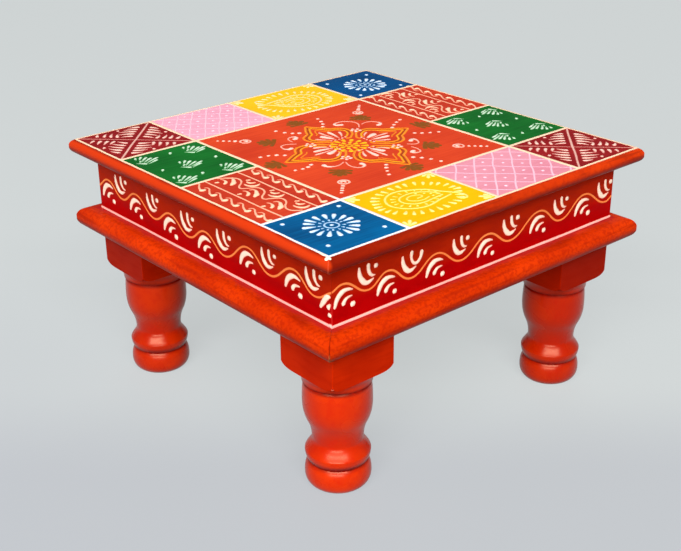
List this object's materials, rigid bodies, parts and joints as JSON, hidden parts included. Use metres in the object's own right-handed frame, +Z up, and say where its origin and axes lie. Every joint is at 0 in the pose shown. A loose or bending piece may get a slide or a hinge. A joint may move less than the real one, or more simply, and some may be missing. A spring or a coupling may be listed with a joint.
{
  "type": "low square floor table",
  "caption": "Low square wooden floor table with a bullnosed top, a mitred apron over a rounded lower rail, and legs turned from square blocks to ringed bun feet.",
  "frame": {"origin": "on the floor, under the middle of the square top", "axes": "+Z up, -Y the front side, +X to the right seen from the front"},
  "size_m": [0.305, 0.305, 0.191],
  "materials": {
    "painted_top": "hand-painted enamel, satin",
    "painted_apron": "deep red enamel, satin",
    "painted_rail": "orange-red enamel, semi-gloss",
    "painted_leg": "orange-red enamel, gloss",
    "bare_wood": "sawn, unpainted"
  },
  "bodies": {
    "root": {"top_board": "painted_top", "apron_front": "painted_apron", "apron_right": "painted_apron", "apron_back": "painted_apron", "apron_left": "painted_apron", "rail_front": "painted_rail", "rail_right": "painted_rail", "rail_back": "painted_rail", "rail_left": "painted_rail", "leg_front_left": "painted_leg", "leg_front_right": "painted_leg", "leg_back_right": "painted_leg", "leg_back_left": "painted_leg", "corner_block_front_left": "bare_wood", "corner_block_front_right": "bare_wood", "corner_block_back_right": "bare_wood", "corner_block_back_left": "bare_wood"}
  },
  "joints": []
}
